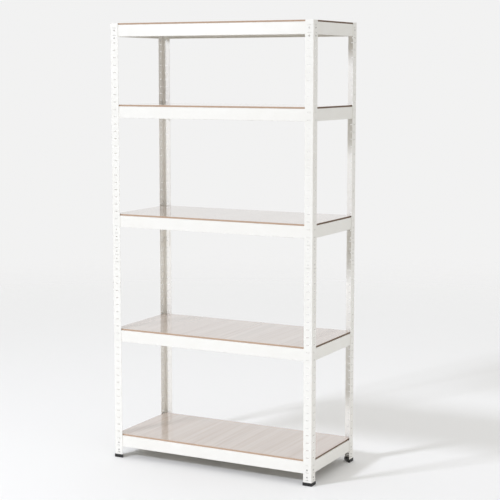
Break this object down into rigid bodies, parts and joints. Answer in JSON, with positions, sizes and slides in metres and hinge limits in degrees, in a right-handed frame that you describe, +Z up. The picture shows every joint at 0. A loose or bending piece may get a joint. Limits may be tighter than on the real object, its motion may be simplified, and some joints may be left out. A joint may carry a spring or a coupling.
{
  "type": "boltless steel shelving rack",
  "caption": "Free-standing boltless shelving rack: slotted steel angle posts, hooked pressed beams, laminated boards that lift off, and plastic post shoes.",
  "frame": {"origin": "on the floor under the middle of the rack", "axes": "+X to the right across the width, +Y from the front to the back, +Z up; metres"},
  "size_m": [0.919, 0.414, 1.8134],
  "materials": {
    "powder_coated_steel": "warm white powder coat, satin, fine orange peel",
    "board_laminate": "pale grey-beige wood-grain laminate on fibreboard, semi-gloss, brown raw edge",
    "foot_plastic": "black moulded plastic, fine grain"
  },
  "bodies": {
    "frame": {"post_front_left_lower": "powder_coated_steel", "post_front_left_upper": "powder_coated_steel", "post_front_right_lower": "powder_coated_steel", "post_front_right_upper": "powder_coated_steel", "post_rear_left_lower": "powder_coated_steel", "post_rear_left_upper": "powder_coated_steel", "post_rear_right_lower": "powder_coated_steel", "post_rear_right_upper": "powder_coated_steel", "splice_front_left": "powder_coated_steel", "splice_front_right": "powder_coated_steel", "splice_rear_left": "powder_coated_steel", "splice_rear_right": "powder_coated_steel", "foot_front_left": "foot_plastic", "foot_front_right": "foot_plastic", "foot_rear_left": "foot_plastic", "foot_rear_right": "foot_plastic", "beam_level_1_front": "powder_coated_steel", "beam_level_1_rear": "powder_coated_steel", "beam_level_1_left": "powder_coated_steel", "beam_level_1_right": "powder_coated_steel", "beam_level_2_front": "powder_coated_steel", "beam_level_2_rear": "powder_coated_steel", "beam_level_2_left": "powder_coated_steel", "beam_level_2_right": "powder_coated_steel", "beam_level_3_front": "powder_coated_steel", "beam_level_3_rear": "powder_coated_steel", "beam_level_3_left": "powder_coated_steel", "beam_level_3_right": "powder_coated_steel", "beam_level_4_front": "powder_coated_steel", "beam_level_4_rear": "powder_coated_steel", "beam_level_4_left": "powder_coated_steel", "beam_level_4_right": "powder_coated_steel", "beam_level_5_front": "powder_coated_steel", "beam_level_5_rear": "powder_coated_steel", "beam_level_5_left": "powder_coated_steel", "beam_level_5_right": "powder_coated_steel"},
    "board_1": {"board_level_1": "board_laminate"},
    "board_2": {"board_level_2": "board_laminate"},
    "board_3": {"board_level_3": "board_laminate"},
    "board_4": {"board_level_4": "board_laminate"},
    "board_5": {"board_level_5": "board_laminate"}
  },
  "joints": [
    {"name": "lift_board_1", "type": "slide", "parent": "frame", "child": "board_1", "axis": [0, 0, 1], "range_m": [0, 0.25]},
    {"name": "lift_board_2", "type": "slide", "parent": "frame", "child": "board_2", "axis": [0, 0, 1], "range_m": [0, 0.25]},
    {"name": "lift_board_3", "type": "slide", "parent": "frame", "child": "board_3", "axis": [0, 0, 1], "range_m": [0, 0.25]},
    {"name": "lift_board_4", "type": "slide", "parent": "frame", "child": "board_4", "axis": [0, 0, 1], "range_m": [0, 0.25]},
    {"name": "lift_board_5", "type": "slide", "parent": "frame", "child": "board_5", "axis": [0, 0, 1], "range_m": [0, 0.25]}
  ]
}
